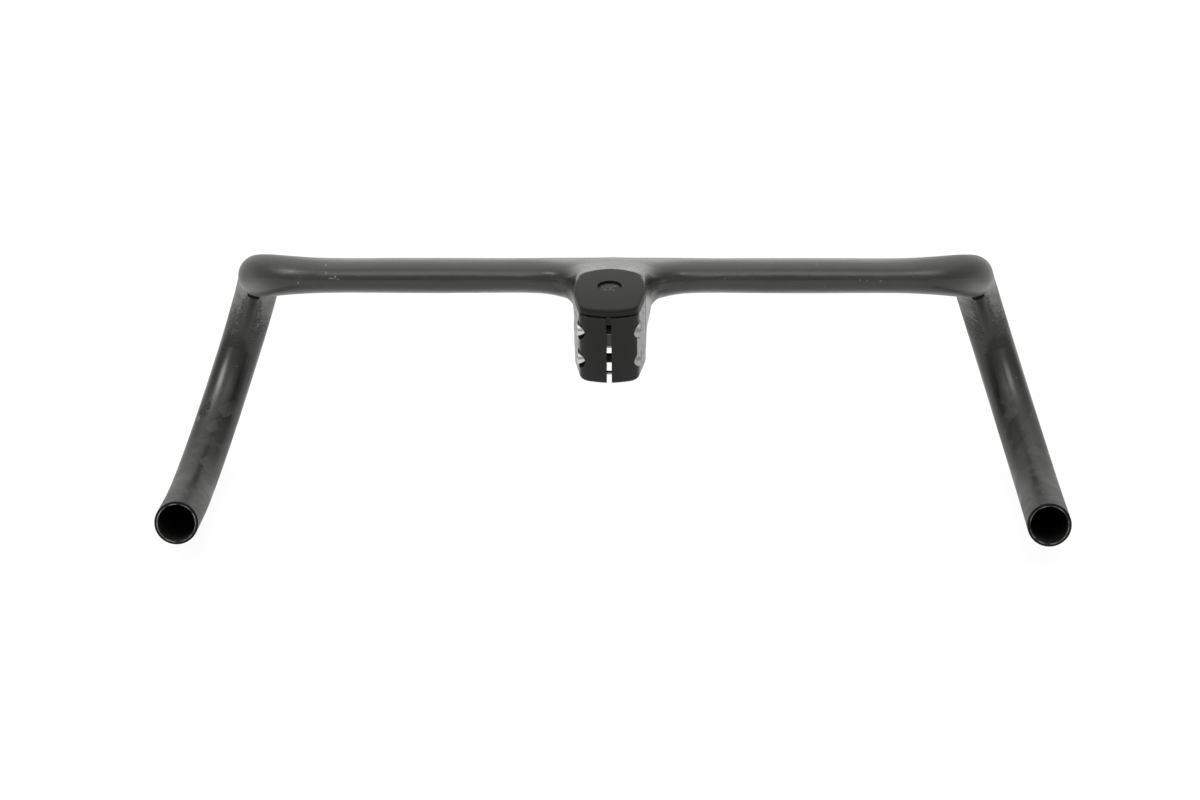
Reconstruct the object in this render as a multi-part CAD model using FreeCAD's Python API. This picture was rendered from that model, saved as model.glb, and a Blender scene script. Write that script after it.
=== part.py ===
"""Integrated handlebar stem: a one-piece carbon drop bar and stem with its split steerer clamp."""
import FreeCAD
import Part
import math
import os
from FreeCAD import Placement, Rotation, Vector

# Frame: Z runs up the steerer axis from the clamp's bottom face, Y points forward, X to the rider's right.
# Lengths are in millimetres and angles in degrees.

# Tops, corners and drops
bar_width = 400.0            # between the two tubes' centre lines where the corners end
bar_drop = 125.0             # from the tops' centre line down to the drop ends
bar_tilt = 17.0              # lean of the level bar against the plane square to the steerer
top_depth = 34.0
top_thickness = 18.5
top_fullness = 2.4           # exponent of the tops' oval, 2 is an ellipse
top_wall = 2.2
top_taper = 12.0             # length before each corner over which the tops start to turn round
tube_diameter = 23.8
tube_wall = 1.7
corner_radius = 32.0
corner_round_turn = 60.0     # turn of the corner at which the section is fully round
corner_ramp = 9.0            # how far below level the corners head where they end
drop_flare = 17.9            # outward lean of the drops
drop_splay = 2.2             # outward turn of the hooks, seen from above
hook_radius = 43.3
hook_turn = 100.5            # turn below level at which the hook's radius changes to the drop's
drop_straight = 42.0         # straight length at each drop end
end_chamfer = 0.4

# Stem between bar and clamp
stem_length = 90.0           # steerer axis to bar centre
bar_height = 7.2             # bar centre above the clamp's bottom face
stem_width = 38.0            # at the clamp
throat_width = 42.0          # where the stem's flanks start to turn into the tops
stem_wall = 3.2
stem_foot = 0.5              # the stem's underside above the clamp's bottom face
stem_flush = 0.4             # the stem's top below the cover's rim, ahead of the cover
blend_radius = 24.0          # plan radius between the stem's flank and the tops
throat_rise = 0.8            # how far the stem's top stands above the tops where the blend starts
throat_depth = 11.5          # how far its underside hangs below them there
throat_fade = 2.0            # exponent by which that rise and depth fade out round the blend
throat_fullness = 4.6
stem_fullness = 8.0

# Hose window under the stem and hose ports under the hooks
window_width = 15.0
window_length = 11.0
window_wall = 6.0            # carbon left between the steerer bore and the window
window_round = 4.0
port_width = 7.0
port_length = 13.0
port_round = 3.2
port_turn = 18.0             # turn of the hook below level at the port's middle

# Steerer clamp
steerer_diameter = 28.6
clamp_height = 38.0
clamp_front = 26.6           # where the outline's front edges would meet, ahead of the steerer axis
clamp_shoulder_width = 30.8
clamp_shoulder = 18.4
clamp_waist_bulge = 0.7      # how far the waist stands out from the stem's flank
clamp_waist = 2.0            # where the outline is widest
clamp_rear_width = 29.8
clamp_rear = 24.6
clamp_rear_apex = 28.9
clamp_front_round = 20.0
clamp_shoulder_round = 7.0
clamp_waist_round = 40.0
clamp_rear_round = 7.0
clamp_rear_apex_round = 30.0
clamp_bottom_round = 2.0
clamp_top_chamfer = 0.7
slit_width = 2.6

# Pinch bolts, washers and nut plate
bolt_diameter = 5.0
bolt_head_diameter = 6.3
bolt_head_height = 6.0
bolt_head_chamfer = 0.4
bolt_socket = 3.0            # across flats
bolt_socket_depth = 2.8
bolt_setback = 19.8          # bolt axes behind the steerer axis
bolt_rise = 0.6              # halfway between the two bolts, above half the clamp's height
bolt_spacing = 16.3
bolt_clearance = 0.15
bolt_tip_sink = 0.3          # bolt tip below the nut plate's outer face
counterbore_diameter = 10.3
counterbore_seat = 9.8       # washer seat, from the middle plane
washer_clearance = 0.25
washer_thickness = 1.0
thread_clearance = 0.05
nut_plate_seat = 11.8        # plate seat, from the middle plane
nut_plate_thickness = 4.6
nut_plate_end = 9.2          # diameter of the plate's round ends
nut_plate_waist = 6.0
nut_plate_clearance = 0.2

# Thin ring in the mouth of the bore
ring_bore_clearance = 0.2    # between steerer and ring
ring_width = 2.2
ring_thickness = 1.1
ring_clearance = 0.15

# Top cover and its plug
cover_gap = 1.1              # shadow gap between clamp and cover rim
cover_edge = 3.4             # height of the cover's rim
cover_crown = 1.2            # rise of the crown above the rim
cover_clearance = 0.3        # between the cover's rim and the stem ahead of it
cover_foot_inset = 2.6       # the foot that stands on the clamp, in from the rim
cover_round = 1.6
cover_key_clearance = 0.25
cover_key_depth = 2.4        # how far the key drops into the slit
cover_key_length = 3.2
cover_key_setback = 1.0      # key in from the rear of the cover
recess_diameter = 12.8
plug_clearance = 0.15
plug_sink = 1.2              # plug face below the crown
plug_head_height = 2.0
plug_body_diameter = 8.0
plug_body_length = 1.6
plug_chamfer = 0.3

# Worked out from the sizes above
SECTION_POINTS = 24
CORNER_STEPS = 6
TOP_STATIONS = (0.25, 0.75)  # sections along each straight top, as shares of its length
FRONT_SHARE = 0.2            # share of the fan past the middle plane that keeps the bar's front straight
ARC_SHARE = 0.98             # largest share of an outline's edge that the arcs at its ends may use
SEAM = 1e-3                  # faces this close are joined
EVEN = 1e-6                  # lengths closer than this are equal
REACH = 1000.0               # longer than the part, for cutting blocks
OVERRUN = 1.0                # how far the hollow runs out of the open ends
X_AXIS = Vector(1, 0, 0)
Z_AXIS = Vector(0, 0, 1)
tube_radius = tube_diameter / 2
bore_radius = steerer_diameter / 2
half_stem = stem_width / 2
half_throat = throat_width / 2
clamp_waist_width = stem_width + 2 * clamp_waist_bulge
washer_diameter = counterbore_diameter - 2 * washer_clearance
ring_inner_diameter = steerer_diameter + 2 * ring_bore_clearance
cover_key_width = slit_width - 2 * cover_key_clearance
bolt_middle = clamp_height / 2 + bolt_rise
cover_rim_top = clamp_height + cover_gap + cover_edge
cover_top = cover_rim_top + cover_crown
bolt_heights = (bolt_middle - bolt_spacing / 2, bolt_middle + bolt_spacing / 2)
throat_back = top_depth / 2 + blend_radius
window_back = bore_radius + window_wall
bar_frame = Placement(Vector(0, stem_length, bar_height), Rotation(X_AXIS, -bar_tilt))
hook_forward = Vector(math.sin(math.radians(drop_splay)), math.cos(math.radians(drop_splay)), 0)
drop_lean = Vector(math.sin(math.radians(drop_flare)), 0, -math.cos(math.radians(drop_flare)))
hook_downward = (drop_lean - hook_forward * drop_lean.dot(hook_forward)).normalize()
ramp = math.radians(corner_ramp)
corner_heading = hook_forward * math.cos(ramp) + hook_downward * math.sin(ramp)
corner_side = (corner_heading - X_AXIS * corner_heading.x).normalize()
corner_turn = math.acos(corner_heading.x)
corner_start = bar_width / 2 - corner_radius * math.sin(corner_turn)
hook_start = X_AXIS * bar_width / 2 + corner_side * corner_radius * (1 - math.cos(corner_turn))
hook_centre = hook_start + (hook_downward * math.cos(ramp) - hook_forward * math.sin(ramp)) * hook_radius


def oval(middle, across, upward, half_across, half_up, fullness):
    """Closed smooth superellipse that starts on its across side."""
    points = []
    for i in range(SECTION_POINTS):
        angle = 2 * math.pi * i / SECTION_POINTS
        cosine = math.cos(angle)
        sine = math.sin(angle)
        stretch = (abs(cosine) ** fullness + abs(sine) ** fullness) ** (-1 / fullness)
        points.append(middle + across * half_across * cosine * stretch + upward * half_up * sine * stretch)
    curve = Part.BSplineCurve()
    curve.interpolate(Points=points, PeriodicFlag=True, Parameters=range(SECTION_POINTS + 1))
    return curve


def skin(rings, final_heading):
    """Solid through closed sections, smooth along and around, that leaves the last one along a heading."""
    rows = [ring.getPoles() for ring in rings]
    stations = [0.0]
    for row, following in zip(rows, rows[1:]):
        steps = [(b - a).Length for a, b in zip(row, following)]
        stations.append(stations[-1] + sum(steps) / len(steps))
    initial_heading = sum((b - a for a, b in zip(rows[0], rows[1])), Vector()).normalize()
    lines = []
    for i in range(len(rows[0])):
        line = Part.BSplineCurve()
        line.interpolate(Points=[row[i] for row in rows], Parameters=stations,
                         InitialTangent=initial_heading, FinalTangent=final_heading, Scale=False)
        lines.append(line)
    surface = Part.BSplineSurface()
    surface.buildFromPolesMultsKnots([line.getPoles() for line in lines],
                                     rings[0].getMultiplicities(), lines[0].getMultiplicities(),
                                     rings[0].getKnots(), lines[0].getKnots(), True, False, 3, 3)
    ends = [Part.Face(Part.Wire(surface.vIso(station).toShape())) for station in (stations[0], stations[-1])]
    shell = Part.makeShell([surface.toShape()] + ends)
    shell.sewShape()
    return Part.makeSolid(shell)


def between(start, end, share):
    """Value part of the way from start to end."""
    return start + (end - start) * share


def ease(share):
    """Smooth step from 0 to 1."""
    share = min(max(share, 0.0), 1.0)
    return share * share * (3 - 2 * share)


def stem_sections(hollow):
    """Sections from the clamp's waist, or for the hollow from the hose window, to the throat."""
    wall = stem_wall if hollow else 0.0
    throat_top = bar_frame.multVec(Vector(0, -throat_back, top_thickness / 2 + throat_rise))
    throat_bottom = bar_frame.multVec(Vector(0, -throat_back, -top_thickness / 2 - throat_depth))
    front_top = Vector(0, window_back, clamp_height if hollow else cover_rim_top - stem_flush)
    front_bottom = Vector(0, window_back, stem_foot)
    lines = [(Vector(0, clamp_waist, cover_rim_top + stem_flush), Vector(0, clamp_waist, stem_foot)),
             (front_top, front_bottom),
             ((front_top + throat_top) / 2, (front_bottom + throat_bottom) / 2),
             (throat_top, throat_bottom)]
    to_bar = bar_frame.inverse()
    last = len(lines) - 1
    wires = []
    for i in range(1 if hollow else 0, last + 1):
        top = to_bar.multVec(lines[i][0])
        bottom = to_bar.multVec(lines[i][1])
        height = (top - bottom).Length
        upward = (top - bottom) / height
        share = i / last
        half_across = between(half_stem, half_throat, share * share) - wall
        fullness = between(stem_fullness, throat_fullness, share)
        wires.append(oval((top + bottom) / 2, X_AXIS, upward, half_across, height / 2 - wall, fullness))
    return wires


def blend_sections(hollow):
    """Sections that fan round the blend's upright axis, from the stem's throat to the tops."""
    axis = Vector(half_throat + blend_radius, -throat_back, 0)
    front = blend_radius + top_depth
    middle_turn = math.atan2(half_throat + blend_radius, front)
    quarter = math.pi / 2
    far_turn = between(middle_turn, quarter, FRONT_SHARE)
    far_reach = front / math.cos(far_turn)
    stem_reach = blend_radius + throat_width
    turns = [between(quarter, far_turn, share) for share in (1 / 3, 2 / 3, 1)]
    turns += [middle_turn, middle_turn / 2, 0.0]
    wires = []
    for turn in turns:
        if turn > far_turn:
            reach = between(far_reach, stem_reach, (turn - far_turn) / (quarter - far_turn))
        else:
            reach = front / math.cos(turn)
        share = turn / quarter
        sag = share ** throat_fade
        wall = between(top_wall, stem_wall, share) if hollow else 0.0
        half_up = top_thickness / 2 + (throat_rise + throat_depth) / 2 * sag - wall
        half_across = (reach - blend_radius) / 2 - wall
        outward = Vector(-math.sin(turn), math.cos(turn), 0)
        lift = Z_AXIS * (throat_rise - throat_depth) / 2 * sag
        middle = axis + outward * (reach + blend_radius) / 2 + lift
        fullness = between(top_fullness, throat_fullness, share)
        wires.append(oval(middle, -outward, Z_AXIS, half_across, half_up, fullness))
    return wires


def arm_sections(hollow):
    """Sections along the tops and round the corner, where the oval turns into the round tube."""
    inner = half_throat + blend_radius
    taper_start = corner_start - top_taper
    stations = [(between(inner, taper_start, share), 0.0) for share in TOP_STATIONS]
    stations += [(taper_start, 0.0), (corner_start, 0.0)]
    stations += [(corner_start, corner_turn * step / CORNER_STEPS) for step in range(1, CORNER_STEPS + 1)]
    taper_length = top_taper + corner_radius * math.radians(corner_round_turn)
    wires = []
    for x, turn in stations:
        run = x - taper_start + corner_radius * turn
        share = ease(run / taper_length)
        wall = between(top_wall, tube_wall, share) if hollow else 0.0
        bow = corner_side * corner_radius * (1 - math.cos(turn))
        middle = X_AXIS * (x + corner_radius * math.sin(turn)) + bow
        heading = X_AXIS * math.cos(turn) + corner_side * math.sin(turn)
        upward = (Z_AXIS - heading * heading.z).normalize()
        across = heading.cross(upward)
        half_across = between(top_depth / 2, tube_radius, share) - wall
        half_up = between(top_thickness / 2, tube_radius, share) - wall
        wires.append(oval(middle, across, upward, half_across, half_up, between(top_fullness, 2.0, share)))
    return wires


def hook_frame(degrees):
    """Point of the hook's centre line at a turn below level, its heading and the way to the centre."""
    turn = math.radians(degrees)
    heading = hook_forward * math.cos(turn) + hook_downward * math.sin(turn)
    inward = hook_downward * math.cos(turn) - hook_forward * math.sin(turn)
    return hook_centre - inward * hook_radius, heading, inward


def drop_tube(radius, overrun):
    """Round bar from the corner through hook and drop to the open end, in three tangent stretches."""
    pivot = hook_forward.cross(hook_downward)

    def disc(centre, normal):
        return Part.Face(Part.Wire(Part.makeCircle(radius, centre, normal)))

    hook = disc(hook_start, corner_heading).revolve(hook_centre, pivot, hook_turn - corner_ramp)
    hook_end, heading, inward = hook_frame(hook_turn)
    drop_radius = -(bar_drop + hook_end.z) / (inward.z + hook_downward.z)
    drop_centre = hook_end + inward * drop_radius
    drop = disc(hook_end, heading).revolve(drop_centre, pivot, 180 - hook_turn)
    drop_end = drop_centre + hook_downward * drop_radius
    straight = Part.makeCylinder(radius, drop_straight + overrun, drop_end, -hook_forward)
    if not overrun:
        rim = [edge for edge in straight.Edges
               if (edge.CenterOfMass - drop_end).Length > drop_straight - EVEN]
        straight = straight.makeChamfer(end_chamfer, rim)
    return [hook, drop, straight]


def both_sides(pieces):
    """The right-hand pieces and their mirror images."""
    return pieces + [piece.mirror(Vector(0, 0, 0), X_AXIS) for piece in pieces]


def bar_form(hollow):
    """Bar and stem without the clamp, as a solid form or as the hollow inside it."""
    sections = stem_sections(hollow) + blend_sections(hollow) + arm_sections(hollow)
    body = skin(sections, corner_heading)
    right = Part.makeBox(REACH, 2 * REACH, 2 * REACH, Vector(0, -REACH, -REACH))
    body = body.common(right)
    radius = tube_radius - tube_wall if hollow else tube_radius
    pieces = both_sides([body] + drop_tube(radius, OVERRUN if hollow else 0.0))
    form = pieces[0].fuse(pieces[1:], SEAM)
    form.Placement = bar_frame
    return form


def rounded_block(width, length, height, corner):
    """Block that rises along Z from the middle of its foot, with rounded upright edges."""
    block = Part.makeBox(width, length, height, Vector(-width / 2, -length / 2, 0))
    upright = [edge for edge in block.Edges if edge.BoundBox.ZLength > height - EVEN]
    return block.makeFillet(corner, upright)


def hose_ports():
    """Slots through the undersides of the hooks, where the hoses leave for the levers."""
    middle, heading, inward = hook_frame(port_turn)
    port = rounded_block(port_width, port_length, 2 * tube_radius, port_round)
    port.Placement = Placement(middle, Rotation(heading.cross(inward), heading, inward, "ZYX"))
    ports = Part.makeCompound(both_sides([port]))
    ports.Placement = bar_frame
    return ports


def rounded_outline(corners):
    """Closed wire of straight edges with a tangent arc at each (x, y, radius) corner."""
    points = [Vector(x, y, 0) for x, y, radius in corners]
    count = len(points)
    halves = []
    setbacks = []
    for i in range(count):
        back = (points[i - 1] - points[i]).normalize()
        ahead = (points[(i + 1) % count] - points[i]).normalize()
        half = math.acos(back.dot(ahead)) / 2
        halves.append((back, ahead, half))
        setbacks.append(corners[i][2] / math.tan(half))
    room = []
    for i in range(count):
        following = (i + 1) % count
        edge = (points[following] - points[i]).Length
        room.append(min(1.0, ARC_SHARE * edge / (setbacks[i] + setbacks[following])))
    arcs = []
    for i in range(count):
        back, ahead, half = halves[i]
        setback = setbacks[i] * min(room[i - 1], room[i])
        radius = setback * math.tan(half)
        middle = (back + ahead).normalize()
        crown = points[i] + middle * (radius / math.sin(half) - radius)
        arcs.append((points[i] + back * setback, crown, points[i] + ahead * setback))
    edges = []
    for i in range(count):
        edges.append(Part.Arc(*arcs[i]).toShape())
        edges.append(Part.makeLine(arcs[i][2], arcs[(i + 1) % count][0]))
    return Part.Wire(Part.__sortEdges__(edges))


def clamp_outline():
    """Plan outline that the clamp and its cover share."""
    shoulder = (clamp_shoulder_width / 2, clamp_shoulder, clamp_shoulder_round)
    waist = (clamp_waist_width / 2, clamp_waist, clamp_waist_round)
    rear = (clamp_rear_width / 2, -clamp_rear, clamp_rear_round)
    right = [shoulder, waist, rear]
    left = [(-x, y, radius) for x, y, radius in reversed(right)]
    front_apex = (0.0, clamp_front, clamp_front_round)
    rear_apex = (0.0, -clamp_rear_apex, clamp_rear_apex_round)
    return rounded_outline([front_apex] + right + [rear_apex] + left)


def raised(wire, bottom, top):
    """Upright prism on a plan outline."""
    prism = Part.Face(wire).extrude(Z_AXIS * (top - bottom))
    prism.translate(Z_AXIS * bottom)
    return prism


def edges_at(shape, height):
    """Edges that lie flat at one height."""
    return [edge for edge in shape.Edges
            if abs(edge.BoundBox.ZMin - height) < EVEN and abs(edge.BoundBox.ZMax - height) < EVEN]


def cross_pin(diameter, height, start, end):
    """Cylinder along X on a pinch bolt's axis."""
    return Part.makeCylinder(diameter / 2, end - start, Vector(start, -bolt_setback, height), X_AXIS)


def nut_plate_form(growth, start, end):
    """Dog-bone of two round ends and a waist, larger all round by growth."""
    ends = [cross_pin(nut_plate_end + 2 * growth, height, start, end) for height in bolt_heights]
    waist = nut_plate_waist + 2 * growth
    web = Part.makeBox(end - start, waist, bolt_spacing,
                       Vector(start, -bolt_setback - waist / 2, bolt_heights[0]))
    return ends[0].fuse([ends[1], web]).removeSplitter()


def make_bar_and_stem():
    outline = clamp_outline()
    column = raised(outline, 0, clamp_height)
    column = column.makeFillet(clamp_bottom_round, edges_at(column, 0))
    column = column.makeChamfer(clamp_top_chamfer, edges_at(column, clamp_height))
    solid = bar_form(False).fuse(column)
    window = rounded_block(window_width, window_length, clamp_height, window_round)
    window.translate(Vector(0, window_back + window_length / 2, -clamp_height / 2))
    ring_radius = ring_inner_diameter / 2 + ring_width + ring_clearance
    cuts = [bar_form(True), window, hose_ports(),
            raised(outline.makeOffset2D(cover_clearance), clamp_height, REACH),
            Part.makeCylinder(bore_radius, REACH, Vector(0, 0, -REACH / 2)),
            Part.makeCylinder(ring_radius, ring_thickness + ring_clearance),
            Part.makeBox(slit_width, REACH, REACH, Vector(-slit_width / 2, -REACH, -REACH / 2)),
            nut_plate_form(nut_plate_clearance, nut_plate_seat, stem_width)]
    for height in bolt_heights:
        cuts.append(cross_pin(bolt_diameter + 2 * bolt_clearance, height, -stem_width, stem_width))
        cuts.append(cross_pin(counterbore_diameter, height, -stem_width, -counterbore_seat))
    return solid.cut(cuts)


def make_top_cover():
    outline = clamp_outline()
    rim_bottom = clamp_height + cover_gap
    cap = raised(outline, rim_bottom, cover_top)
    half_length = (clamp_front + clamp_rear_apex) / 2
    crown_radius = (half_length ** 2 + cover_crown ** 2) / (2 * cover_crown)
    middle = Vector(0, (clamp_front - clamp_rear_apex) / 2, cover_top - crown_radius)
    cap = cap.common(Part.makeSphere(crown_radius, middle))
    rim = [edge for edge in cap.Edges if edge.BoundBox.ZMin > rim_bottom + cover_edge / 2]
    cap = cap.makeFillet(cover_round, rim)
    foot = raised(outline.makeOffset2D(-cover_foot_inset), clamp_height, rim_bottom)
    key_corner = Vector(-cover_key_width / 2, cover_key_setback - clamp_rear_apex,
                        clamp_height - cover_key_depth)
    key = Part.makeBox(cover_key_width, cover_key_length, cover_gap + cover_key_depth, key_corner)
    cover = cap.fuse([foot, key]).removeSplitter()
    recess_floor = cover_top - plug_sink - plug_head_height
    recess = Part.makeCylinder(recess_diameter / 2, REACH, Vector(0, 0, recess_floor))
    hole = Part.makeCylinder(plug_body_diameter / 2 + plug_clearance, REACH)
    return cover.cut([recess, hole])


def hex_prism(across_flats, height):
    """Hexagonal prism that rises along Z from the origin."""
    corner = Vector(across_flats / math.sqrt(3), 0, 0)
    points = [Rotation(Z_AXIS, 60 * i).multVec(corner) for i in range(7)]
    return Part.Face(Part.makePolygon(points)).extrude(Z_AXIS * height)


def make_centre_plug():
    face = cover_top - plug_sink
    shoulder = face - plug_head_height
    head = Part.makeCylinder(recess_diameter / 2 - plug_clearance, plug_head_height, Vector(0, 0, shoulder))
    body = Part.makeCylinder(plug_body_diameter / 2, plug_body_length,
                             Vector(0, 0, shoulder - plug_body_length))
    head = head.makeChamfer(plug_chamfer, edges_at(head, face))
    return head.fuse(body).removeSplitter()


def make_pinch_bolt(height):
    seat = -counterbore_seat - washer_thickness
    tip = nut_plate_seat + nut_plate_thickness - bolt_tip_sink
    head = cross_pin(bolt_head_diameter, height, seat - bolt_head_height, seat)
    face = [edge for edge in head.Edges if edge.BoundBox.XMax < seat - bolt_head_height + EVEN]
    head = head.makeChamfer(bolt_head_chamfer, face)
    shank = cross_pin(bolt_diameter, height, seat, tip)
    socket = hex_prism(bolt_socket, REACH)
    socket.Placement = Placement(Vector(seat - bolt_head_height + bolt_socket_depth, -bolt_setback, height),
                                 Rotation(Z_AXIS, -X_AXIS))
    return head.fuse(shank).removeSplitter().cut(socket)


def make_washer(height):
    disc = cross_pin(washer_diameter, height, -counterbore_seat - washer_thickness, -counterbore_seat)
    return disc.cut(cross_pin(bolt_diameter + 2 * bolt_clearance, height, -stem_width, stem_width))


def make_nut_plate():
    plate = nut_plate_form(0.0, nut_plate_seat, nut_plate_seat + nut_plate_thickness)
    thread = bolt_diameter + 2 * thread_clearance
    return plate.cut([cross_pin(thread, height, -stem_width, stem_width) for height in bolt_heights])


def make_lower_ring():
    inner = ring_inner_diameter / 2
    ring = Part.makeCylinder(inner + ring_width, ring_thickness, Vector(0, 0, ring_clearance))
    return ring.cut(Part.makeCylinder(inner, REACH, Vector(0, 0, -REACH / 2)))


os.makedirs("parts", exist_ok=True)
nodes = {
    "bar_and_stem": make_bar_and_stem(),
    "top_cover": make_top_cover(),
    "centre_plug": make_centre_plug(),
    "pinch_bolts": Part.makeCompound([make_pinch_bolt(height) for height in bolt_heights]),
    "pinch_washers": Part.makeCompound([make_washer(height) for height in bolt_heights]),
    "nut_plate": make_nut_plate(),
    "lower_ring": make_lower_ring(),
}
for name, shape in nodes.items():
    shape.exportStep("parts/" + name + ".step")
    print(name, len(shape.Solids), round(shape.Volume), shape.isValid())
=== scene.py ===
"""Integrated handlebar stem: raw satin carbon bar, moulded cover and clamp hardware in a white studio."""

import math

import bpy
import numpy as np
from mathutils import Matrix, Vector, kdtree


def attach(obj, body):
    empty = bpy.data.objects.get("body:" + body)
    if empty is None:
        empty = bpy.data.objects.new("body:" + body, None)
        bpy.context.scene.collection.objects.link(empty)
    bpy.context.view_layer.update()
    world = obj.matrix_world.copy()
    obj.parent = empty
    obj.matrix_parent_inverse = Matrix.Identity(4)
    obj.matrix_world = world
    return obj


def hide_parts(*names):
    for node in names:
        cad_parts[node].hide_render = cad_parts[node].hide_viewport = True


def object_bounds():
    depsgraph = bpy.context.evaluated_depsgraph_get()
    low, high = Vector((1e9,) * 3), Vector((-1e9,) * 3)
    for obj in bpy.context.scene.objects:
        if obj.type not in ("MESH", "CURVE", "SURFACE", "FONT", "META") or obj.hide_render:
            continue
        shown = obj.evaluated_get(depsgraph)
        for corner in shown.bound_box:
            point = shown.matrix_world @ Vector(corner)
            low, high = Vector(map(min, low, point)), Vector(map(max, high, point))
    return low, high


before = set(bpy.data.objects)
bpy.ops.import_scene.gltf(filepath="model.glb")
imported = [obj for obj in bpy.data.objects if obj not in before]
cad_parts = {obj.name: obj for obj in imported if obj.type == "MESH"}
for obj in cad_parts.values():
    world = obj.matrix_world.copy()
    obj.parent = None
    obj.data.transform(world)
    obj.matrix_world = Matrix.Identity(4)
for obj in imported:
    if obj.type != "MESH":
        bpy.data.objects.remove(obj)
cad_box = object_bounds()
MM = 0.001
X_AXIS = Vector((1.0, 0.0, 0.0))
Z_AXIS = Vector((0.0, 0.0, 1.0))

# Camera: viewing angle and framing of a 1200 x 800 picture
FOCAL_PIXELS = 3313.13
PICTURE_PIXELS = 1200.0
SENSOR_WIDTH = 36.0
CAMERA_REACH = 20.0
ELEVATION = math.radians(27.39)
YAW = math.radians(1.64)
ROLL = math.radians(-0.67)
SIDEWAYS = -5.50 * MM
UPWARD = -20.98 * MM
DISTANCE = 1753.65 * MM

# Centre line of one side of the bar, in the bar's own level frame (millimetres)
BAR_ORIGIN = Vector((0.0, 90.0, 7.2))
BAR_TILT = math.radians(-17.0)
HALF_WIDTH = 200.0
CORNER_RADIUS = 32.0
CORNER_RAMP = math.radians(9.0)
DROP_FLARE = math.radians(17.9)
DROP_SPLAY = math.radians(2.2)
BAR_DROP = 125.0
HOOK_RADIUS = 43.3
HOOK_TURN = math.radians(100.5)
DROP_STRAIGHT = 42.0
TUBE_RADIUS = 11.9
TUBE_WALL = 1.7
BLEND_X = 45.0               # upright axis round which the stem turns into the tops
BLEND_Y = -41.0
CLAMP_BACK = -16.0           # behind here the clamp's back is smooth
BACKWARD = -0.12             # a face of the clamp's back heads further back than this

# Finishes of the carbon, and zones of painted light and shade on it: each fades in or out between two distances
# along the bar from its middle (millimetres)
COMBED_END = (172.0, 212.0)      # fibre swept along the stem and tops
PATCH_START = (308.0, 332.0)     # patches laid on the drops
WORN_START = (145.0, 195.0)      # dull corners, as far as the hooks
WORN_END = (262.0, 284.0)
GRIP_START = (385.0, 425.0)      # dull drop ends
SLEEK_START = (268.0, 296.0)     # black, smooth backs of the hooks
SLEEK_END = (312.0, 330.0)
SANDED_LIGHT_START = (212.0, 230.0)    # sanded tops of the hooks, paler partly from the sanding and partly as painted reflection of the floor
SANDED_LIGHT_END = (244.0, 280.0)
PITTED_START = (224.0, 232.0)    # pits along the edges of the sanding
SHADE_WEDGE_START = (226.0, 234.0)     # painted shade of the corner: a wedge in its middle kept dark
SHADE_WEDGE_END = (246.0, 292.0)
UNDERSIDE_LIGHT_START = (180.0, 200.0)     # painted reflection of the floor, lightening the corners' undersides
UNDERSIDE_LIGHT_END = (224.0, 236.0)
UNDERSIDE_LIGHT_FACING = Vector((0.0, -0.6, -0.8))
UNDERSIDE_LIGHT_SHARE = (0.2, 0.6)         # how far a face turns to that side
SHADE_WEDGE_ANGLE = 0.25               # half the wedge's width at its start, and the fade beside it (radians)
SHADE_WEDGE_FADE = 0.3
CARBON, BORE, CLAMP, CUT = range(4)     # material slots of the bar

# Marks of use: (centre in millimetres, half extents)
PALE_MARKS = (
    ((-158.0, 81.2, 17.7), (0.5, 1.1, 1.1)),
    ((-157.4, 75.6, 15.4), (0.4, 0.8, 0.8)),
    ((-154.6, 74.0, 12.8), (1.3, 0.8, 0.35)),
    ((-152.4, 74.2, 13.6), (0.5, 0.9, 0.8)),
    ((-151.0, 73.8, 12.4), (1.2, 0.8, 0.3)),
    ((-173.0, 75.0, 9.7), (0.5, 0.8, 0.7)),
    ((-236.6, 100.6, -87.6), (2.2, 3.0, 1.0)),
    ((-230.6, 103.0, -83.6), (0.6, 2.0, 0.6)),
    ((146.1, 73.6, 11.6), (0.9, 0.8, 0.35)),
    ((134.8, 73.7, 12.2), (0.6, 0.8, 0.3)),
    ((139.0, 73.6, 11.8), (0.4, 0.7, 0.3)),
)
DARK_MARKS = (
    ((-235.8, 102.2, -84.8), (3.8, 3.5, 1.2)),
    ((-231.8, 104.4, -82.2), (1.0, 3.0, 2.6)),
    ((-233.5, 103.4, -82.2), (1.8, 3.0, 0.8)),
)

# Sizes in the materials: patches and fibre per millimetre along and across, noises per metre
PATCH_SIZE = (0.14, 0.14, 0.14)
PATCH_TURN = math.radians(40)
FIBRE_SIZE = (0.05, 1.6, 1.0)
FIBRE_TURN = math.radians(36)
FINE_STREAK = (0.012, 0.75, 0.75)
BROAD_STREAK = (0.008, 0.16, 0.16)
WAVES = 42.0
CLOUDS = 130.0
GRIME = 420.0
PITS = 640.0
GRAIN = 900.0
CARBON_IOR = 1.55
BOLT_HEAD_END = -9.6 * MM        # where the bolts' heads end and their shanks start; past it the colour is darkened as painted shade of the clamp slit
PLUG_RECESS_SHADE = 5.6 * MM             # radius past which the plug is darkened as painted shade of its recess
RECESS_SHADE_FADE = 0.8 * MM
SHANK_SHADE_FADE = 0.2 * MM

# Studio
WARM = (1.0, 0.995, 0.955)       # colour of the light
FLOOR_HALF = 6.0
FLOOR_GAP = 0.5 * MM
FLOOR_GREY = 0.85
FLOOR_GLOW = 1.06                # white of the floor as a backdrop, and its share against the lit floor
FLOOR_GLOW_SHARE = 0.88
CEILING = ((0.0, 0.5), (0.2, 0.36), (0.5, 0.56), (0.7, 0.9), (0.87, 1.25), (1.0, 1.35))     # (height, strength)
AHEAD = 0.57                     # more light from ahead of the bar, between two headings
AHEAD_SPAN = (0.2, 0.9)
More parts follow.
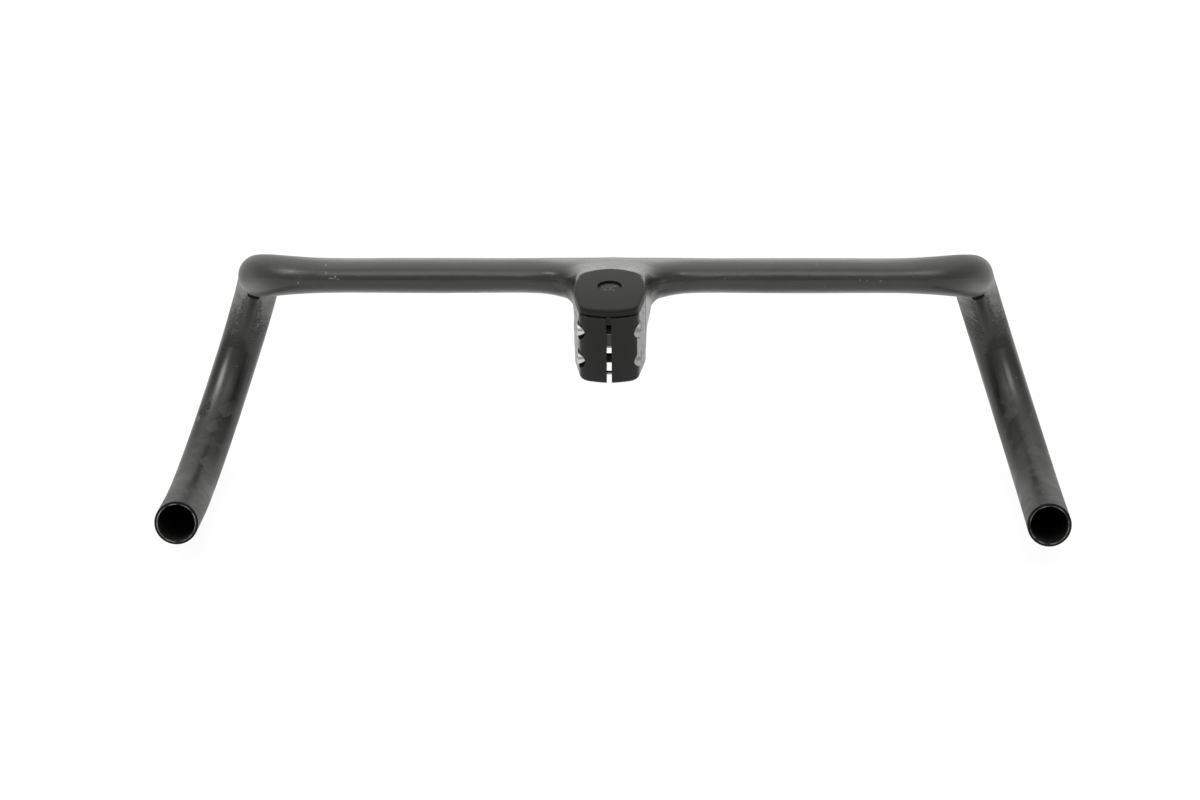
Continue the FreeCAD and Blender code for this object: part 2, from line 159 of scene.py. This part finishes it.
# Lamps: name, place, target, width, depth, radiance and spread in degrees
LAMPS = (
    ("left_softbox", (-0.58, -0.06, 0.45), (-0.22, 0.112, -0.068), 0.28, 0.28, 9.0, 50.0),
    ("right_softbox", (0.42, -0.17, 0.47), (0.215, 0.115, -0.05), 0.26, 0.26, 4.2, 50.0),
    ("strip_light", (0.0, -0.004, 0.140), (0.0, 0.075, 0.016), 0.38, 0.10, 1.25, 90.0),
)


# Nodes

def add(tree, kind, **values):
    """New shader node; each value sets an input socket or, failing that, a property."""
    node = tree.nodes.new(kind)
    for name, value in values.items():
        key = name.replace("_", " ").title()
        if key in node.inputs:
            node.inputs[key].default_value = value
        else:
            setattr(node, name, value)
    return node


def blank(name):
    """Material with an empty principled surface; returns it with its tree and shader."""
    mat = bpy.data.materials.new(name)
    mat.use_nodes = True
    tree = mat.node_tree
    tree.nodes.clear()
    shader = tree.nodes.new("ShaderNodeBsdfPrincipled")
    out = tree.nodes.new("ShaderNodeOutputMaterial")
    tree.links.new(shader.outputs["BSDF"], out.inputs["Surface"])
    return mat, tree, shader


def object_place(tree):
    """Where a point lies in the object, in metres."""
    return tree.nodes.new("ShaderNodeTexCoord").outputs["Object"]


def stored(tree, name, kind="Fac"):
    """A value that the mesh stores under a name."""
    return add(tree, "ShaderNodeAttribute", attribute_name=name).outputs[kind]


def ramp(tree, source, *stops):
    """Colour ramp of (position, grey) stops on a factor."""
    node = tree.nodes.new("ShaderNodeValToRGB")
    points = node.color_ramp.elements
    for _ in range(len(stops) - 2):
        points.new(0.5)
    for point, (position, shade) in zip(points, stops):
        point.position = position
        point.color = (shade, shade, shade, 1.0)
    tree.links.new(source, node.inputs["Fac"])
    return node.outputs["Color"]


def span(tree, source, low, high, start=0.0, end=1.0):
    """A value from start to end spread from low to high, and held there."""
    node = add(tree, "ShaderNodeMapRange", from_min=start, from_max=end, to_min=low, to_max=high)
    tree.links.new(source, node.inputs["Value"])
    return node.outputs["Result"]


def maths(tree, operation, *values):
    """Math node on sockets or numbers."""
    node = tree.nodes.new("ShaderNodeMath")
    node.operation = operation
    for socket, value in zip(node.inputs, values):
        if isinstance(value, (int, float)):
            socket.default_value = value
        else:
            tree.links.new(value, socket)
    return node.outputs["Value"]


def length(tree, vector):
    """Length of a vector."""
    node = tree.nodes.new("ShaderNodeVectorMath")
    node.operation = "LENGTH"
    tree.links.new(vector, node.inputs[0])
    return node.outputs["Value"]


def total(tree, *values):
    """Sum of sockets and numbers."""
    result = values[0]
    for value in values[1:]:
        result = maths(tree, "ADD", result, value)
    return result


def scaled(tree, source, *factors):
    """Product of a socket with sockets and numbers."""
    for factor in factors:
        source = maths(tree, "MULTIPLY", source, factor)
    return source


def weighted(tree, start, *terms):
    """A start value plus (socket, weight) terms."""
    return total(tree, start, *(scaled(tree, socket, weight) for socket, weight in terms))


def swing(tree, source, size=1.0):
    """A 0 to 1 noise as a swing of that size about zero."""
    return maths(tree, "MULTIPLY", maths(tree, "SUBTRACT", source, 0.5), size)


def turned(tree, vector, stretch, turn=0.0):
    """A vector turned about Z and stretched."""
    mapping = add(tree, "ShaderNodeMapping")
    mapping.inputs["Scale"].default_value = stretch
    mapping.inputs["Rotation"].default_value = (0.0, 0.0, turn)
    tree.links.new(vector, mapping.inputs["Vector"])
    return mapping.outputs["Vector"]


def noise(tree, vector, scale, detail=3.0):
    """Noise on a vector."""
    node = add(tree, "ShaderNodeTexNoise", scale=scale, detail=detail)
    tree.links.new(vector, node.inputs["Vector"])
    return node.outputs["Fac"]


def grey(tree, value, warm=0.97):
    """Grey colour from a value, with a little less blue."""
    colour = tree.nodes.new("ShaderNodeCombineColor")
    for channel, share in (("Red", 1.0), ("Green", 1.0), ("Blue", warm)):
        tree.links.new(maths(tree, "MULTIPLY", value, share), colour.inputs[channel])
    return colour.outputs["Color"]


def bump(tree, shader, *layers):
    """Stack of (height, distance in metres) bumps on a shader's normal."""
    previous = None
    for height, distance in layers:
        node = add(tree, "ShaderNodeBump", distance=distance)
        tree.links.new(height, node.inputs["Height"])
        if previous:
            tree.links.new(previous, node.inputs["Normal"])
        previous = node.outputs["Normal"]
    tree.links.new(previous, shader.inputs["Normal"])


def mark(tree, place, centre, size, ragged):
    """Ragged spot on the surface: 1 inside, 0 outside, at a point in millimetres."""
    offset = tree.nodes.new("ShaderNodeVectorMath")
    offset.operation = "SUBTRACT"
    tree.links.new(place, offset.inputs[0])
    offset.inputs[1].default_value = Vector(centre) * MM
    spot = turned(tree, offset.outputs["Vector"], tuple(1.0 / (extent * MM) for extent in size))
    return span(tree, total(tree, length(tree, spot), ragged), 1.0, 0.0, 0.8, 1.0)


def marks(tree, place, spots, ragged):
    """All of a list of spots in one mask."""
    result = None
    for centre, size in spots:
        spot = mark(tree, place, centre, size, ragged)
        result = spot if result is None else maths(tree, "MAXIMUM", result, spot)
    return result


# Materials

def carbon():
    """Satin raw carbon: fibre swept round the stem, laid patches on the drops, dust and small marks, with painted
    light on the sanded hook tops and the corners' undersides.
    """
    mat, tree, shader = blank("raw_carbon")
    lay = stored(tree, "lay", "Vector")
    sweep = stored(tree, "sweep", "Vector")
    combed, patch, sanded_with_painted_light, pitted, painted_underside_light, sleek, worn = (
        stored(tree, name) for name in ("combed", "patch", "sanded_with_painted_light", "pitted", "painted_underside_light", "sleek", "worn"))
    place = object_place(tree)

    cells = add(tree, "ShaderNodeTexVoronoi", scale=1.0, randomness=0.45)
    cells.distance = "CHEBYCHEV"
    tree.links.new(turned(tree, lay, PATCH_SIZE, PATCH_TURN), cells.inputs["Vector"])
    split = tree.nodes.new("ShaderNodeSeparateColor")
    tree.links.new(cells.outputs["Color"], split.inputs["Color"])
    tone = scaled(tree, swing(tree, split.outputs["Red"]), patch)

    right_fibre = noise(tree, turned(tree, lay, FIBRE_SIZE, FIBRE_TURN), 1.0, 2.0)
    left_fibre = noise(tree, turned(tree, lay, FIBRE_SIZE, -FIBRE_TURN), 1.0, 2.0)
    which = maths(tree, "GREATER_THAN", split.outputs["Green"], 0.5)
    fibre_mix = tree.nodes.new("ShaderNodeMix")
    tree.links.new(which, fibre_mix.inputs[0])
    tree.links.new(right_fibre, fibre_mix.inputs[2])
    tree.links.new(left_fibre, fibre_mix.inputs[3])
    fibre = scaled(tree, swing(tree, fibre_mix.outputs[0]), patch)

    fine_streak = scaled(tree, swing(tree, noise(tree, turned(tree, sweep, FINE_STREAK), 1.0, 3.0)), combed)
    broad_streak = scaled(tree, swing(tree, noise(tree, turned(tree, sweep, BROAD_STREAK), 1.0, 2.0)), combed)
    waves = noise(tree, place, WAVES, 1.0)
    cloud = noise(tree, place, CLOUDS, 4.0)
    grain = noise(tree, place, GRAIN, 3.0)
    grime = noise(tree, place, GRIME, 4.0)

    ragged = swing(tree, grain, 2.2)
    pale = marks(tree, place, PALE_MARKS, ragged)
    dark = marks(tree, place, DARK_MARKS, ragged)
    specks = ramp(tree, grime, (0.0, 0.0), (0.71, 0.0), (0.78, 0.09))
    # painted light: the sanded hook tops and the corners' undersides get a paler colour, standing partly for the
    # floor's reflection
    speckled = total(tree, sanded_with_painted_light, swing(tree, grain, 0.9), swing(tree, grime, 1.7))
    sanding_and_painted_light = span(tree, speckled, 0.0, 0.085, 0.35, 0.8)
    # painted reflection of the floor on the corners' undersides
    sanding_and_painted_light = maths(tree, "MAXIMUM", sanding_and_painted_light, scaled(tree, painted_underside_light, 0.07))
    pits = scaled(tree, pitted, span(tree, noise(tree, place, PITS, 2.0), 0.0, 1.0, 0.48, 0.6))

    base = weighted(tree, 0.020, (sleek, -0.014), (patch, -0.012), (tone, 0.05), (fibre, 0.028),
                    (fine_streak, 0.014), (broad_streak, 0.012), (swing(tree, cloud), 0.010), (pale, 0.11),
                    (sanding_and_painted_light, span(tree, pits, 1.0, 0.1)))
    base = total(tree, base, specks)
    base = maths(tree, "MULTIPLY", base, span(tree, dark, 1.0, 0.25))
    base = maths(tree, "MAXIMUM", base, 0.003)
    tree.links.new(grey(tree, base), shader.inputs["Base Color"])

    rough = weighted(tree, 0.26, (patch, 0.17), (worn, 0.14), (tone, 0.15), (fibre, 0.10), (fine_streak, 0.22),
                     (broad_streak, 0.08), (swing(tree, waves), 0.10),
                     (sanded_with_painted_light, span(tree, cloud, -0.05, 0.2, 0.35, 0.65)), (pale, 0.2), (sleek, -0.01), (dark, 0.3))
    tree.links.new(maths(tree, "MAXIMUM", rough, 0.12), shader.inputs["Roughness"])
    shader.inputs["IOR"].default_value = CARBON_IOR
    rub = scaled(tree, sanded_with_painted_light, swing(tree, grain))
    bump(tree, shader, (waves, 0.00022), (cloud, 0.00001), (fibre, 0.00002), (fine_streak, 0.00006), (rub, 0.0003),
         (pits, -0.0006), (dark, -0.0014))
    return mat


def bore_carbon():
    """Unfinished, nearly black inner wall of the tubes with a little dust."""
    mat, tree, shader = blank("bore_carbon")
    place = object_place(tree)
    cloud = noise(tree, place, 300.0, 3.0)
    dust = ramp(tree, noise(tree, place, 700.0, 2.0), (0.0, 0.0), (0.66, 0.0), (0.72, 0.08))
    base = total(tree, span(tree, cloud, 0.012, 0.03), dust)
    tree.links.new(grey(tree, base), shader.inputs["Base Color"])
    tree.links.new(span(tree, cloud, 0.75, 0.95), shader.inputs["Roughness"])
    shader.inputs["Specular IOR Level"].default_value = 0.1
    bump(tree, shader, (cloud, 0.0002))
    return mat


def cut_carbon():
    """Dark sawn end of a drop with a painted highlight along its inner edge."""
    mat, tree, shader = blank("cut_carbon")
    place = object_place(tree)
    rim = stored(tree, "rim")
    cloud = noise(tree, place, 260.0, 3.0)
    grain = noise(tree, place, 1500.0, 2.0)
    # painted highlight on the inner edge of the cut end
    line = scaled(tree, span(tree, rim, 0.0, 1.0, 0.5, 0.9), span(tree, cloud, 0.02, 0.32, 0.4, 0.68))
    base = total(tree, 0.006, swing(tree, grain, 0.006), line)
    tree.links.new(grey(tree, base), shader.inputs["Base Color"])
    tree.links.new(span(tree, cloud, 0.5, 0.75), shader.inputs["Roughness"])
    shader.inputs["Specular IOR Level"].default_value = 0.15
    bump(tree, shader, (grain, 0.0001))
    return mat


def clamp_carbon():
    """Smooth satin black of the clamp's back."""
    mat, tree, shader = blank("clamp_carbon")
    place = object_place(tree)
    cloud = noise(tree, place, 110.0, 3.0)
    fine = noise(tree, turned(tree, place, (1.0, 1.0, 0.15)), 700.0, 2.0)
    base = total(tree, 0.011, swing(tree, cloud, 0.008), swing(tree, fine, 0.004))
    tree.links.new(grey(tree, base), shader.inputs["Base Color"])
    tree.links.new(span(tree, cloud, 0.26, 0.4), shader.inputs["Roughness"])
    shader.inputs["Specular IOR Level"].default_value = 0.25
    bump(tree, shader, (cloud, 0.00008))
    return mat


def moulded(name, shade, rough, grain, mottle, gloss, edge=None):
    """Matt moulded plastic with a fine grain, broad handling marks and a mottle, darkened past an edge radius as
    painted shade of the recess round it.
    """
    mat, tree, shader = blank(name)
    place = object_place(tree)
    fine = noise(tree, place, grain, 2.0)
    broad = noise(tree, place, 90.0, 3.0)
    blot = noise(tree, place, 700.0, 3.0)
    base = total(tree, shade, swing(tree, broad, 0.35 * shade), swing(tree, fine, 0.3 * shade),
                 scaled(tree, span(tree, blot, 0.0, 1.0, 0.5, 0.72), mottle))
    # painted shade of the recess round the part, past the edge radius
    if edge is not None:
        radius = length(tree, turned(tree, place, (1.0, 1.0, 0.0)))
        base = scaled(tree, base, span(tree, radius, 1.0, 0.1, edge - RECESS_SHADE_FADE, edge))
    tree.links.new(grey(tree, base, 0.96), shader.inputs["Base Color"])
    tree.links.new(span(tree, broad, rough - 0.06, rough + 0.06), shader.inputs["Roughness"])
    shader.inputs["Specular IOR Level"].default_value = gloss
    bump(tree, shader, (fine, 0.00003), (blot, 0.0001 if mottle else 0.00001))
    return mat


def metal(name, shade, rough, shank=None):
    """Turned metal with fine turning lines and small dark marks, darkened past a shank's start as painted shade of
    the slit it sits in.
    """
    mat, tree, shader = blank(name)
    shader.inputs["Metallic"].default_value = 1.0
    place = object_place(tree)
    lines = noise(tree, turned(tree, place, (3.0, 0.4, 0.4)), 900.0, 2.0)
    spots = noise(tree, place, 500.0, 3.0)
    base = maths(tree, "MULTIPLY", span(tree, spots, shade * 0.75, shade * 1.15), span(tree, lines, 0.9, 1.1))
    # painted shade: the shank inside the clamp slit is darkened
    if shank is not None:
        across = tree.nodes.new("ShaderNodeSeparateXYZ")
        tree.links.new(place, across.inputs["Vector"])
        base = scaled(tree, base, span(tree, across.outputs["X"], 1.0, 0.02, shank - SHANK_SHADE_FADE, shank))
    tree.links.new(grey(tree, base, 0.98), shader.inputs["Base Color"])
    tree.links.new(span(tree, lines, rough - 0.08, rough + 0.08), shader.inputs["Roughness"])
    bump(tree, shader, (lines, 0.00001))
    return mat


def dress(name, mat):
    """Gives a carried-over solid its material."""
    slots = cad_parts[name].data.materials
    slots.clear()
    slots.append(mat)


# The bar: a copy of the moulding that knows how its fibre is laid

def centre_line():
    """Points, headings and side vectors along one half of the bar, with their distance from the middle."""
    forward = Vector((math.sin(DROP_SPLAY), math.cos(DROP_SPLAY), 0.0))
    lean = Vector((math.sin(DROP_FLARE), 0.0, -math.cos(DROP_FLARE)))
    down = (lean - forward * lean.dot(forward)).normalized()

    def heading_at(turn):
        return forward * math.cos(turn) + down * math.sin(turn)

    def inward_at(turn):
        return down * math.cos(turn) - forward * math.sin(turn)

    last_heading = heading_at(CORNER_RAMP)
    aside = (last_heading - X_AXIS * last_heading.x).normalized()
    corner_turn = math.acos(last_heading.x)
    corner_x = HALF_WIDTH - CORNER_RADIUS * math.sin(corner_turn)
    rows = [(X_AXIS * x, X_AXIS, Z_AXIS) for x in np.linspace(0.0, corner_x, 120)]
    for turn in np.linspace(0.0, corner_turn, 40)[1:]:
        ahead = aside * CORNER_RADIUS * (1 - math.cos(turn))
        point = X_AXIS * (corner_x + CORNER_RADIUS * math.sin(turn)) + ahead
        heading = X_AXIS * math.cos(turn) + aside * math.sin(turn)
        up = Z_AXIS.lerp(-inward_at(CORNER_RAMP), turn / corner_turn)
        rows.append((point, heading, (up - heading * up.dot(heading)).normalized()))
    middle = rows[-1][0] + inward_at(CORNER_RAMP) * HOOK_RADIUS
    for turn in np.linspace(CORNER_RAMP, HOOK_TURN, 60)[1:]:
        rows.append((middle - inward_at(turn) * HOOK_RADIUS, heading_at(turn), -inward_at(turn)))
    inward = inward_at(HOOK_TURN)
    drop_radius = -(BAR_DROP + rows[-1][0].z) / (inward.z + down.z)
    middle = rows[-1][0] + inward * drop_radius
    for turn in np.linspace(HOOK_TURN, math.pi, 80)[1:]:
        rows.append((middle - inward_at(turn) * drop_radius, heading_at(turn), -inward_at(turn)))
    foot = rows[-1][0]
    for run in np.linspace(0.0, DROP_STRAIGHT, 25)[1:]:
        rows.append((foot - forward * run, -forward, -down))
    run = 0.0
    line = []
    for i, (point, heading, side) in enumerate(rows):
        if i:
            run += (point - rows[i - 1][0]).length
        line.append((point, heading, side, run))
    return line


def swept(point):
    """Where a point lies along and across the fibre that turns from the stem into the tops."""
    ahead = point.y - BLEND_Y
    inside = BLEND_X - point.x
    quarter = math.pi / 2
    if ahead < 0:
        return -ahead, inside, point.z
    if inside > 0:
        return (math.atan2(inside, ahead) - quarter) * BLEND_X, math.hypot(inside, ahead), point.z
    return inside - quarter * BLEND_X, ahead, point.z


def smooth(value, start, end):
    """Smooth step from 0 at start to 1 at end."""
    share = min(max((value - start) / (end - start), 0.0), 1.0)
    return share * share * (3 - 2 * share)


def finishes(run, angle, normal):
    """How much of each finish shows at a run along the bar, an angle round it and a normal."""
    # painted shade: a wedge under the corner is left out of the paler sanded zone
    shade_wedge = SHADE_WEDGE_ANGLE * (1 - smooth(run, *SHADE_WEDGE_END)) * smooth(run, *SHADE_WEDGE_START)
    beside = smooth(abs(angle), shade_wedge, shade_wedge + SHADE_WEDGE_FADE) if shade_wedge else 1.0
    sanded_with_painted_light = smooth(run, *SANDED_LIGHT_START) * (1 - smooth(run, *SANDED_LIGHT_END)) * beside
    painted_underside_light = smooth(run, *UNDERSIDE_LIGHT_START) * (1 - smooth(run, *UNDERSIDE_LIGHT_END))
    return {
        "combed": 1 - smooth(run, *COMBED_END),
        "patch": smooth(run, *PATCH_START),
        "worn": smooth(run, *WORN_START) * (1 - smooth(run, *WORN_END)) + smooth(run, *GRIP_START),
        "sleek": smooth(run, *SLEEK_START) * (1 - smooth(run, *SLEEK_END)),
        "sanded_with_painted_light": sanded_with_painted_light,
        "pitted": 4 * sanded_with_painted_light * (1 - sanded_with_painted_light) * smooth(run, *PITTED_START),
        "painted_underside_light": painted_underside_light * smooth(normal.dot(UNDERSIDE_LIGHT_FACING), *UNDERSIDE_LIGHT_SHARE),
    }


def lay_fibre(mesh):
    """Stores where each point lies along and around the bar, and which finish shows there."""
    line = centre_line()
    full_run = line[-1][3]
    tree = kdtree.KDTree(len(line))
    for i, row in enumerate(line):
        tree.insert(row[0], i)
    tree.balance()
    to_bar = (Matrix.Translation(BAR_ORIGIN) @ Matrix.Rotation(BAR_TILT, 4, "X")).inverted()
    count = len(mesh.vertices)
    along = np.zeros(count)
    angle = np.zeros(count)
    offsets = np.zeros((count, 3))
    sweep = np.zeros((count, 3))
    names = ("combed", "patch", "sanded_with_painted_light", "pitted", "painted_underside_light", "worn", "sleek", "rim")
    values = {name: np.zeros(count) for name in names}
    for i, vertex in enumerate(mesh.vertices):
        point = to_bar @ (vertex.co / MM)
        mirror = -1.0 if point.x < 0 else 1.0
        point.x = abs(point.x)
        sweep[i] = swept(point)
        near, heading, side, run = line[tree.find(point)[1]]
        offset = point - near
        run += offset.dot(heading)
        along[i] = run * mirror
        angle[i] = math.atan2(offset.dot(heading.cross(side)), -offset.dot(side))
        across = offset - heading * offset.dot(heading)
        offsets[i] = (across.x * mirror, across.y, across.z)
        for name, value in finishes(run, angle[i], vertex.normal).items():
            values[name][i] = value
        # the cut end's inner edge, which gets a painted highlight
        if run > full_run - 0.2 and across.length < TUBE_RADIUS - TUBE_WALL + 0.1:
            values["rim"][i] = 1.0

    corners = np.zeros(len(mesh.loops), int)
    mesh.loops.foreach_get("vertex_index", corners)
    corners = corners.reshape(-1, 3)
    turns = angle[corners]
    crosses = turns.max(1) - turns.min(1) > math.pi
    turns[crosses] = np.where(turns[crosses] < 0, turns[crosses] + 2 * math.pi, turns[crosses])
    lay = np.stack([along[corners], turns * TUBE_RADIUS, np.zeros(turns.shape)], 2)
    mesh.attributes.new("lay", "FLOAT_VECTOR", "CORNER").data.foreach_set("vector", lay.ravel())
    mesh.attributes.new("sweep", "FLOAT_VECTOR", "POINT").data.foreach_set("vector", sweep.ravel())
    for name, data in values.items():
        mesh.attributes.new(name, "FLOAT", "POINT").data.foreach_set("value", data)

    normals = np.zeros((len(mesh.polygons), 3))
    mesh.polygons.foreach_get("normal", normals.ravel())
    centres = np.zeros((len(mesh.polygons), 3))
    mesh.polygons.foreach_get("center", centres.ravel())
    level_normals = normals @ np.array(to_bar.to_3x3()).T
    inner = np.einsum("ij,ij->i", level_normals, offsets[corners].mean(1)) < -1.0
    stem = sweep[corners][:, :, 0].mean(1) > -BLEND_X
    rear = (normals[:, 1] < BACKWARD) & (centres[:, 1] < CLAMP_BACK * MM)
    cut = np.abs(along[corners]).min(1) > full_run - 0.5
    finish = np.select([cut, rear, inner & ~stem], [CUT, CLAMP, BORE], CARBON)
    mesh.polygons.foreach_set("material_index", finish.astype(np.int32))


def make_bar():
    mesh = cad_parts["bar_and_stem"].data.copy()
    mesh.name = "carbon_bar"
    mesh.materials.clear()
    for mat in (carbon(), bore_carbon(), clamp_carbon(), cut_carbon()):
        mesh.materials.append(mat)
    lay_fibre(mesh)
    bar = bpy.data.objects.new("carbon_bar", mesh)
    bpy.context.scene.collection.objects.link(bar)
    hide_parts("bar_and_stem")
    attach(bar, "root")


# Studio: white floor, light ceiling, dim horizon, two softboxes and a strip light

def camera_axes():
    """Right, up and forward of the camera."""
    level = math.cos(ELEVATION)
    forward = Vector((-math.sin(YAW) * level, math.cos(YAW) * level, -math.sin(ELEVATION)))
    right = Vector((math.cos(YAW), math.sin(YAW), 0.0))
    up = right.cross(forward)
    rolled_right = right * math.cos(ROLL) + up * math.sin(ROLL)
    rolled_up = up * math.cos(ROLL) - right * math.sin(ROLL)
    return rolled_right, rolled_up, forward


def make_camera():
    right, up, forward = camera_axes()
    data = bpy.data.cameras.new("camera")
    data.sensor_width = SENSOR_WIDTH
    data.lens = FOCAL_PIXELS * SENSOR_WIDTH / PICTURE_PIXELS
    data.clip_end = CAMERA_REACH
    camera = bpy.data.objects.new("camera", data)
    place = right * SIDEWAYS + up * UPWARD - forward * DISTANCE
    turn = Matrix((right, up, -forward)).transposed().to_4x4()
    camera.matrix_world = Matrix.Translation(place) @ turn
    bpy.context.scene.collection.objects.link(camera)
    bpy.context.scene.camera = camera


def backdrop_share(tree):
    """1 for the rays that see the backdrop: from the camera, off a gloss and through glass."""
    path = tree.nodes.new("ShaderNodeLightPath")
    seen = maths(tree, "MAXIMUM", path.outputs["Is Camera Ray"], path.outputs["Is Glossy Ray"])
    return maths(tree, "MAXIMUM", seen, path.outputs["Is Transmission Ray"])


def make_floor():
    low = cad_box[0][2] - FLOOR_GAP
    mesh = bpy.data.meshes.new("floor")
    sides = ((-1, -1), (1, -1), (1, 1), (-1, 1))
    mesh.from_pydata([(x * FLOOR_HALF, y * FLOOR_HALF, low) for x, y in sides], [], [(0, 1, 2, 3)])
    mat, tree, shader = blank("floor_white")
    shader.inputs["Base Color"].default_value = (FLOOR_GREY, FLOOR_GREY, FLOOR_GREY, 1.0)
    shader.inputs["Roughness"].default_value = 0.9
    shader.inputs["Specular IOR Level"].default_value = 0.0
    glow = add(tree, "ShaderNodeEmission", strength=FLOOR_GLOW)
    mix = tree.nodes.new("ShaderNodeMixShader")
    tree.links.new(maths(tree, "MULTIPLY", backdrop_share(tree), FLOOR_GLOW_SHARE), mix.inputs[0])
    tree.links.new(shader.outputs["BSDF"], mix.inputs[1])
    tree.links.new(glow.outputs["Emission"], mix.inputs[2])
    out = [node for node in tree.nodes if node.type == "OUTPUT_MATERIAL"][0]
    tree.links.new(mix.outputs["Shader"], out.inputs["Surface"])
    mesh.materials.append(mat)
    floor = bpy.data.objects.new("floor", mesh)
    bpy.context.scene.collection.objects.link(floor)


def make_room():
    """World light: a ceiling that is brightest overhead, and more light from ahead."""
    world = bpy.data.worlds.new("room")
    bpy.context.scene.world = world
    world.use_nodes = True
    tree = world.node_tree
    tree.nodes.clear()
    ray = tree.nodes.new("ShaderNodeTexCoord").outputs["Generated"]
    parts = tree.nodes.new("ShaderNodeSeparateXYZ")
    tree.links.new(ray, parts.inputs["Vector"])
    ceiling = ramp(tree, parts.outputs["Z"], *CEILING)
    ahead = span(tree, parts.outputs["Y"], 0.0, AHEAD, *AHEAD_SPAN)
    light = tree.nodes.new("ShaderNodeBackground")
    light.inputs["Color"].default_value = WARM + (1.0,)
    tree.links.new(maths(tree, "ADD", ceiling, ahead), light.inputs["Strength"])
    out = tree.nodes.new("ShaderNodeOutputWorld")
    tree.links.new(light.outputs["Background"], out.inputs["Surface"])


def make_lamp(name, place, target, width, depth, radiance, spread):
    """Area light of a radiance straight ahead, aimed at a point; a narrow spread keeps it off the rest."""
    data = bpy.data.lights.new(name, "AREA")
    data.shape = "RECTANGLE"
    data.color = WARM
    data.size = width
    data.size_y = depth
    data.spread = math.radians(spread)
    half = data.spread / 2
    data.energy = radiance * math.pi * width * depth * (math.tan(half) - half) / math.tan(half)
    lamp = bpy.data.objects.new(name, data)
    lamp.location = place
    lamp.rotation_euler = (Vector(target) - Vector(place)).to_track_quat("-Z", "Y").to_euler()
    lamp.visible_camera = False
    bpy.context.scene.collection.objects.link(lamp)


make_bar()
dress("top_cover", moulded("cover_plastic", 0.011, 0.48, 1800.0, 0.0, 0.2))
dress("centre_plug", moulded("plug_plastic", 0.010, 0.5, 700.0, 0.12, 0.25, PLUG_RECESS_SHADE))
dress("pinch_bolts", metal("bolt_steel", 0.62, 0.22, BOLT_HEAD_END))
dress("pinch_washers", metal("washer_steel", 0.45, 0.35))
dress("nut_plate", metal("plate_aluminium", 0.4, 0.42))
dress("lower_ring", metal("ring_alloy", 0.3, 0.4))
make_camera()
make_floor()
make_room()
for lamp_settings in LAMPS:
    make_lamp(*lamp_settings)
bpy.context.scene.view_settings.view_transform = "Standard"
